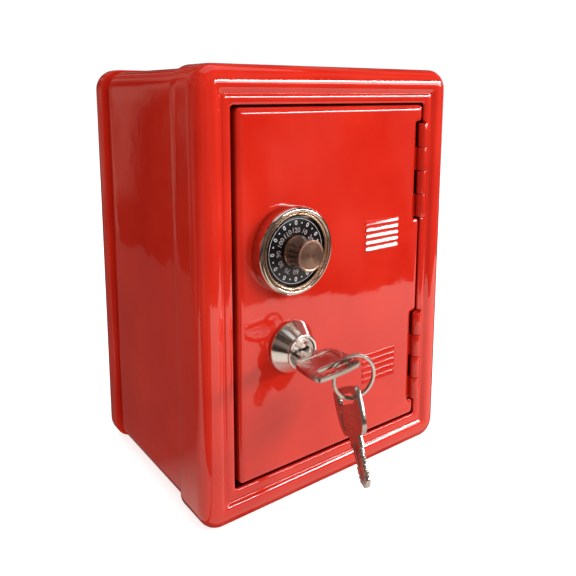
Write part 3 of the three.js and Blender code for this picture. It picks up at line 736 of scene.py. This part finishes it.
def make_lock():
    """Chrome cone with a threaded barrel."""
    face = DOOR_FACE - LOCK_FACE
    cone = [(5.85, face - 1.2), (5.85, face - 0.15), (6.0, face), (6.5, face)]
    cone += smooth_line([(6.75, face - 0.04), (7.0, face - 0.25), (7.12, face - 0.6), (7.3, face - 1.0)], 3)
    height, end, crest, root = 0.3, -9.7, 8.0, 7.55
    cone += [(10.55, 1.7), (10.8, 1.3), (10.88, 1.0), (10.9, 0.4), (10.8, height), (crest, height)]
    while height - 0.9 > end:
        cone += [(crest, height - 0.1), (root, height - 0.45), (root, height - 0.55), (crest, height - 0.9)]
        height -= THREAD_PITCH
    cone += [(crest, end + 0.2), (7.8, end), (5.85, end)]
    piece("lock_cone", turned(cone, LOCK, DOOR_FACE, 112), CHROME, "door", ["lock_body"], 35)


def make_plug():
    """A face with a ragged keyway, a core with a plain slot, a solid end and the cam's square."""
    tilt = in_lock(0)
    front, back = LOCK_FACE + 0.4, 10.9
    keyway = [(-3.7, -1.3), (-3.7, 0.2), (-2.9, 1.35), (-2.2, 1.0), (-1.5, 1.75), (-0.7, 1.55),
              (-0.2, 0.95), (0.6, 1.2), (1.1, 1.7), (2.0, 1.35), (2.5, 1.9), (3.0, 1.3), (3.7, 1.2),
              (3.7, -0.5), (3.2, -1.3), (0.4, -1.35)]
    slot = [(-3.6, -1.35), (3.6, -1.35), (3.6, 1.95), (-3.6, 1.95)]
    plug = Drawing()
    for outlines, thickness, ease, middle in (
        ([circle(5.5, 56), keyway], 1.4, 0.12, front + 0.7),
        ([circle(5.45, 40), slot], back - front - 4.0, 0.05, (front + back) / 2 - 0.5),
        ([circle(5.45, 40)], 2.3, 0.1, back - 1.15),
    ):
        layer = flat_plate(outlines, thickness, ease)
        layer.moved(tilt @ Matrix.Translation((0, middle, 0)) @ Matrix.Rotation(math.radians(90), 4, "X"))
        plug.add(layer.points, layer.faces)
    half = 2.8
    square = slab((-half, back - 0.5, -half), (half, back + 1.8, half)).moved(tilt)
    plug.add(square.points, square.faces)
    piece("lock_plug_milled", plug, NICKEL, "lock_rotor", ["lock_plug"], 35)


def in_lock(y):
    """Where something on the lock's axis goes at that depth, turned as the plug is at rest."""
    return Matrix.Translation((LOCK.x, y, LOCK.z)) @ Matrix.Rotation(math.radians(PLUG_TILT), 4, "Y")


def flat_plate(outlines, thickness, ease):
    """A flat plate in x and y about z = 0, with eased edges. Outlines after the first are holes."""
    curve = bpy.data.curves.new("plate", "CURVE")
    curve.dimensions = "2D"
    curve.fill_mode = "BOTH"
    curve.extrude = thickness / 2 - ease
    curve.bevel_depth = ease
    curve.bevel_resolution = 1
    curve.offset = -ease
    for outline_points in outlines:
        spline = curve.splines.new("POLY")
        spline.points.add(len(outline_points) - 1)
        for point, (x, y) in zip(spline.points, outline_points):
            point.co = (x, y, 0, 1)
        spline.use_cyclic_u = True
    obj = bpy.data.objects.new("plate", curve)
    bpy.context.scene.collection.objects.link(obj)
    mesh = bpy.data.meshes.new_from_object(obj.evaluated_get(bpy.context.evaluated_depsgraph_get()))
    faces = [list(face.vertices) for face in mesh.polygons]
    drawing = Drawing().add([v.co.copy() for v in mesh.vertices], faces)
    bpy.data.objects.remove(obj)
    bpy.data.curves.remove(curve)
    bpy.data.meshes.remove(mesh)
    return drawing


# ---------------------------------------------------------------- keys

KEY_LENGTH = 37
BOW_LENGTH = 18.3
COLLAR_END = 23
BLADE_HALF = 3
KEY_SLOT_AT = 4.8
KEY_SLOT_HALF = (7.3, 1.9)
RING_RADIUS = 9.2
RING_WALL = 1.3
RING_WIRE = 1.4
RING_YAW = -14
SPARE_SWING = 30.5


def bow_side():
    """The right side of the bow, from its end to the collar."""
    points = [(0, 0.05), (4, 0.2), (7.2, 0.5)]
    points += smooth_line([(8.3, 0.62), (9.7, 1.1), (10.45, 2.6), (10.68, 6), (10.6, 10), (10.2, 13.4),
                           (9.6, 15.4), (8.5, 17.2), (6.8, 18.15), (4.9, BOW_LENGTH)], 4)
    return points + [(4, 18.5), (4, COLLAR_END - 0.3), (3.7, COLLAR_END), (BLADE_HALF, COLLAR_END)]


def blade_side(phase):
    """Cuts along one edge of the blade, from the collar to the tip."""
    points = []
    cuts = 6
    start = COLLAR_END + 1.6
    pitch = (KEY_LENGTH - 2.2 - start) / cuts
    for i in range(cuts):
        depth = 0.55 + 0.35 * math.sin(4.1 * i + phase)
        at = start + i * pitch
        points += [(BLADE_HALF, at), (BLADE_HALF, at + pitch * 0.2), (BLADE_HALF - depth, at + pitch * 0.45),
                   (BLADE_HALF - depth, at + pitch * 0.75)]
    return points + [(BLADE_HALF, KEY_LENGTH - 2.6), (2.4, KEY_LENGTH - 1.9), (0.5, KEY_LENGTH - 0.1)]


def box_outline(x0, x1, y0, y1, radius, steps=4):
    points = []
    for cx, cy, start in ((x1 - radius, y0 + radius, -90), (x1 - radius, y1 - radius, 0),
                          (x0 + radius, y1 - radius, 90), (x0 + radius, y0 + radius, 180)):
        points += list(arc((cx, cy), radius, start, start + 90, steps))
    return points


def key_drawing():
    """A key that lies flat, its bow's end at y = 0 and its tip at y = KEY_LENGTH, with sunk panels."""
    right = bow_side() + blade_side(1)
    left = [(-x, y) for x, y in bow_side()[1:] + blade_side(-1)]
    whole = right + left[::-1]
    half, radius = KEY_SLOT_HALF[0] - KEY_SLOT_HALF[1], KEY_SLOT_HALF[1]
    slot_hole = [(x, KEY_SLOT_AT + y) for x, y in stadium(half, radius, 8, 2)]
    rim_hole = [(x, KEY_SLOT_AT + y) for x, y in stadium(half, radius + 0.02, 8, 2)]
    panel = box_outline(-7.2, 7.2, 8.9, 16, 1.1)
    groove = box_outline(-0.9, 0.9, COLLAR_END - 2.6, KEY_LENGTH - 3.4, 0.5)
    drawing = flat_plate([whole, rim_hole, panel, groove], 2.0, 0.16)
    core = flat_plate([[(x * 0.985, y * 0.985 + 0.25) for x, y in whole], slot_hole], 1.5, 0.1)
    return drawing.add(core.points, core.faces)


def make_keys():
    """The key in the lock lies flat. The spare hangs on the ring, which runs through the end of its slot."""
    key = key_drawing()
    first = Drawing().add(key.points, key.faces).moved(in_lock(KEY_BOX[0].y))
    piece("key_in_lock_cut", first, NICKEL, "key", ["key_in_lock"], 30)

    hang = Matrix.Translation((RING.x, RING.y, RING.z)) @ Matrix.Rotation(math.radians(RING_YAW), 4, "Z")
    pivot = Matrix.Translation((0, 0, RING_WALL / 2 - RING_RADIUS))
    swing = Matrix.Rotation(math.radians(-SPARE_SWING), 4, "X")
    turn = Matrix.Rotation(math.radians(-90), 4, "Z") @ Matrix.Rotation(math.radians(-90), 4, "X")
    from_wire = Matrix.Translation((KEY_SLOT_HALF[1] - KEY_SLOT_HALF[0], -KEY_SLOT_AT, 0))
    spare = Drawing().add(key.points, key.faces).moved(hang @ pivot @ swing @ turn @ from_wire)
    piece("spare_key_cut", spare, NICKEL, "hanging_key", ["spare_key"], 30)


def make_ring():
    """A split ring: two turns of flat wire, with a step where one turn passes into the other."""
    half_wall, half_turn = RING_WALL / 2, RING_WIRE / 4 - 0.02
    middle = RING_RADIUS - half_wall
    section = []
    for cx, cy, start in ((1, -1, -90), (1, 1, 0), (-1, 1, 90), (-1, -1, 180)):
        ease = 0.22
        section += list(arc((cx * (half_wall - ease), cy * (half_turn - ease)), ease, start, start + 90, 3))
    ramp, begin = math.radians(26), math.radians(150)
    total = 4 * math.pi - ramp - math.radians(6)
    steps = 300
    loops = []
    for i in range(steps + 1):
        angle = total * i / steps
        passed = min(max((angle - (2 * math.pi - ramp)) / ramp, 0), 1)
        along = (passed * passed * (3 - 2 * passed) * 2 - 1) * RING_WIRE / 4
        a = begin + angle
        out = Vector((math.cos(a), 0, math.sin(a)))
        loops.append([out * (middle + u) + Vector((0, along + v, 0)) for u, v in section])
    wire = Drawing().skin(loops, fill_first=True, fill_last=True)
    wire.moved(Matrix.Translation((RING.x, RING.y, RING.z)) @ Matrix.Rotation(math.radians(RING_YAW), 4, "Z"))
    piece("split_ring", wire, NICKEL, "ring", ["key_ring"], 40)


def finish_inner_nodes():
    """CAD nodes that keep their shape take the finish of their slot."""
    finishes = {"red_paint": PAINT, "zinc_steel": ZINC, "brass_parts": BRASS}
    for part in frame["record"]["subparts"]:
        obj = frame["nodes"][part["node"]]
        if not obj.hide_render:
            obj.data.materials.clear()
            obj.data.materials.append(finishes[part["material_slot"]])


make_front_frame()
make_body_sleeve()
make_rear_cover()
make_door()
make_hinges()
make_bezel()
make_disc()
make_knob()
make_lock()
make_plug()
make_keys()
make_ring()
finish_inner_nodes()


# ---------------------------------------------------------------- studio

PAPER_HEIGHT = 0.1
BANK_MIDDLE = Vector((0, 0, 90 * MM))


def glow(name, colour, near, far, y_near, y_far):
    """Paper that shines with the strength near at y_near and far at y_far, in metres."""
    material = bpy.data.materials.new(name)
    material.use_nodes = True
    tree = material.node_tree
    tree.nodes.clear()
    split = tree.nodes.new("ShaderNodeSeparateXYZ")
    tree.links.new(tree.nodes.new("ShaderNodeTexCoord").outputs["Object"], split.inputs[0])
    strength = tree.nodes.new("ShaderNodeMapRange")
    for key, value in {"From Min": y_far, "From Max": y_near, "To Min": far, "To Max": near}.items():
        strength.inputs[key].default_value = value
    tree.links.new(split.outputs["Y"], strength.inputs["Value"])
    shader = tree.nodes.new("ShaderNodeEmission")
    shader.inputs["Color"].default_value = (*colour, 1)
    tree.links.new(strength.outputs["Result"], shader.inputs["Strength"])
    tree.links.new(shader.outputs["Emission"], tree.nodes.new("ShaderNodeOutputMaterial").inputs["Surface"])
    return material


def flat_card(name, corners, height, material):
    mesh = bpy.data.meshes.new(name)
    mesh.from_pydata([Vector((x, y, height)) * MM for x, y in corners], [], [list(range(len(corners)))])
    obj = bpy.data.objects.new(name, mesh)
    bpy.context.scene.collection.objects.link(obj)
    mesh.materials.append(material)
    return obj


def make_stage():
    """A white floor, and white paper on three sides of the bank, which only mirrors see."""
    white = bpy.data.materials.new("white_floor")
    white.use_nodes = True
    shader = white.node_tree.nodes["Principled BSDF"]
    shader.inputs["Base Color"].default_value = (0.6, 0.6, 0.6, 1)
    shader.inputs["Roughness"].default_value = 0.8
    shader.inputs["Specular IOR Level"].default_value = 0.0
    shader.inputs["Emission Color"].default_value = (1, 1, 1, 1)
    shader.inputs["Emission Strength"].default_value = 0.72
    half = 6000
    floor = flat_card("floor", [(-half, -half), (half, -half), (half, half), (-half, half)], 0, white)
    floor.visible_glossy = False
    floor.visible_diffuse = False
    for paper in (front_paper(), back_paper(), left_paper()):
        paper.visible_camera = False
        paper.visible_diffuse = False
        paper.visible_shadow = False


def front_paper():
    """Runs along the door's side of the bank. Its far edge is torn, and comes nearer to the right."""
    shine = glow("paper_glow", (1, 0.90, 0.80), 0.85, 1.75, FRONT.y, FRONT.y - 280 * MM)
    start, left, right = FRONT.y / MM, -66, 420
    far_left, comes_nearer, steps = 278, 165, 60
    corners = []
    for i in range(steps + 1):
        tear = 3.2 * math.sin(1.9 * i) + 2.6 * math.sin(5.3 * i + 1) + 4 * math.sin(0.45 * i)
        y = start - far_left + comes_nearer * i / steps + tear
        corners.append((left + (right - left) * i / steps, y))
    corners += [(right, start - 1), (left, start - 1)]
    return flat_card("paper", corners, PAPER_HEIGHT, shine)


def back_paper():
    shine = glow("back_paper_glow", (1, 0.92, 0.85), 0.5, 0.5, 1, 0)
    corners = [(-66, 72), (400, 72), (400, 190), (-66, 240)]
    return flat_card("back_paper", corners, PAPER_HEIGHT, shine)


def left_paper():
    """Brightest level with the door, where the lock's cone mirrors it."""
    shine = glow("left_paper_glow", (1, 0.90, 0.80), 0.95, 0.11, FRONT.y, FRONT.y + 60 * MM)
    corners = [(-68, -68), (-330, -68), (-300, 20), (-232, 120), (-226, 520), (-68, 520)]
    return flat_card("left_paper", corners, PAPER_HEIGHT, shine)


def soft_light(name, azimuth, elevation, distance, width, height, power):
    """A softbox that faces the middle of the bank. Azimuth 0 is in front of the door, 90 on its right."""
    data = bpy.data.lights.new(name, "AREA")
    data.shape = "RECTANGLE"
    data.size, data.size_y = width * MM, height * MM
    data.energy = power
    light = bpy.data.objects.new(name, data)
    a, e = math.radians(azimuth), math.radians(elevation)
    back = Vector((math.sin(a) * math.cos(e), -math.cos(a) * math.cos(e), math.sin(e)))
    light.location = BANK_MIDDLE + back * distance * MM
    light.rotation_mode = "QUATERNION"
    light.rotation_quaternion = back.to_track_quat("Z", "Y")
    bpy.context.scene.collection.objects.link(light)
    return light


def make_lights():
    """The window lights leave out the sleeve and the cover, whose flat top would mirror them as plain
    white. A light on the right that no mirror sees makes up for it."""
    left_out = bpy.data.collections.new("not_lit_by_the_window")
    side_lit = bpy.data.collections.new("lit_from_the_right")
    for name in ("body_sleeve_wrap", "coin_slot_lip", "rear_cover_pan"):
        left_out.objects.link(bpy.data.objects[name])
        side_lit.objects.link(bpy.data.objects[name])
    for entry in left_out.collection_objects:
        entry.light_linking.link_state = "EXCLUDE"
    for light in (soft_light("window", 46, 17.5, 900, 820, 46, 4.4),
                  soft_light("window_glow", 46, 13.5, 905, 820, 110, 1.6)):
        light.light_linking.receiver_collection = left_out
    side_fill = soft_light("side_fill", 88, 20, 900, 820, 100, 4.4)
    side_fill.light_linking.receiver_collection = side_lit
    side_fill.visible_glossy = False
    soft_light("overhead", 20, 80, 900, 900, 900, 2.0)
    soft_light("back_fill", 168, 28, 1100, 900, 600, 6.0).visible_glossy = False
    soft_light("side_strip", 98, 14, 900, 60, 700, 0.35)


def make_world():
    """White behind the bank. Matt surfaces see a room that is brighter on the right and in front, and
    mirrors see a dim brown one with patches."""
    world = bpy.data.worlds.new("studio")
    bpy.context.scene.world = world
    world.use_nodes = True
    tree = world.node_tree
    tree.nodes.clear()

    def new(kind, **values):
        node = tree.nodes.new(kind)
        for key, value in values.items():
            node.inputs[key].default_value = value
        return node

    path = new("ShaderNodeLightPath")
    direction = new("ShaderNodeTexCoord").outputs["Generated"]

    bright_side = new("ShaderNodeVectorMath")
    bright_side.operation = "DOT_PRODUCT"
    bright_side.inputs[1].default_value = Vector((0.55, -0.78, 0.3)).normalized()
    tree.links.new(direction, bright_side.inputs[0])
    level = new("ShaderNodeMapRange", **{"From Min": -1.0, "From Max": 1.0, "To Min": 0.52, "To Max": 0.90})
    tree.links.new(bright_side.outputs["Value"], level.inputs["Value"])
    fill = new("ShaderNodeBackground", Color=(1, 0.99, 0.98, 1))
    tree.links.new(level.outputs["Result"], fill.inputs["Strength"])

    stretch = new("ShaderNodeMapping", Scale=(9.0, 2.2, 3.0), Location=(1.7, -0.6, 2.0))
    patches = new("ShaderNodeTexNoise", Scale=1.3, Detail=3.0)
    shades = new("ShaderNodeValToRGB")
    shades.color_ramp.elements[0].position = 0.44
    shades.color_ramp.elements[0].color = (0.030, 0.018, 0.014, 1)
    shades.color_ramp.elements[1].position = 0.62
    shades.color_ramp.elements[1].color = (0.32, 0.24, 0.20, 1)
    room = new("ShaderNodeBackground")
    tree.links.new(direction, stretch.inputs["Vector"])
    tree.links.new(stretch.outputs["Vector"], patches.inputs["Vector"])
    tree.links.new(patches.outputs["Fac"], shades.inputs["Fac"])
    tree.links.new(shades.outputs["Color"], room.inputs["Color"])

    white = new("ShaderNodeBackground", Color=(1.05, 1.05, 1.05, 1))
    mirrored = new("ShaderNodeMixShader")
    seen = new("ShaderNodeMixShader")
    tree.links.new(path.outputs["Is Glossy Ray"], mirrored.inputs[0])
    tree.links.new(fill.outputs[0], mirrored.inputs[1])
    tree.links.new(room.outputs[0], mirrored.inputs[2])
    tree.links.new(path.outputs["Is Camera Ray"], seen.inputs[0])
    tree.links.new(mirrored.outputs[0], seen.inputs[1])
    tree.links.new(white.outputs[0], seen.inputs[2])
    tree.links.new(seen.outputs[0], new("ShaderNodeOutputWorld").inputs["Surface"])


def make_camera():
    """In front, to the left of the door and looking down a little."""
    data = bpy.data.cameras.new("camera")
    data.sensor_width = 36
    data.lens = 39.19
    data.shift_x = 0.0089
    data.shift_y = -0.1597
    data.clip_start = 0.01
    camera = bpy.data.objects.new("camera", data)
    camera.location = in_metres((-169.6, -191.7, 169.0))
    yaw, pitch, roll = (math.radians(v) for v in (36.22, 9.21, -0.02))
    forward = Vector((math.sin(yaw) * math.cos(pitch), math.cos(yaw) * math.cos(pitch), -math.sin(pitch)))
    rolled = Matrix.Rotation(-roll, 3, "Z").to_quaternion()
    camera.rotation_mode = "QUATERNION"
    camera.rotation_quaternion = forward.to_track_quat("-Z", "Y") @ rolled
    bpy.context.scene.collection.objects.link(camera)
    bpy.context.scene.camera = camera


make_stage()
make_lights()
make_world()
make_camera()
bpy.context.scene.view_settings.view_transform = "Standard"
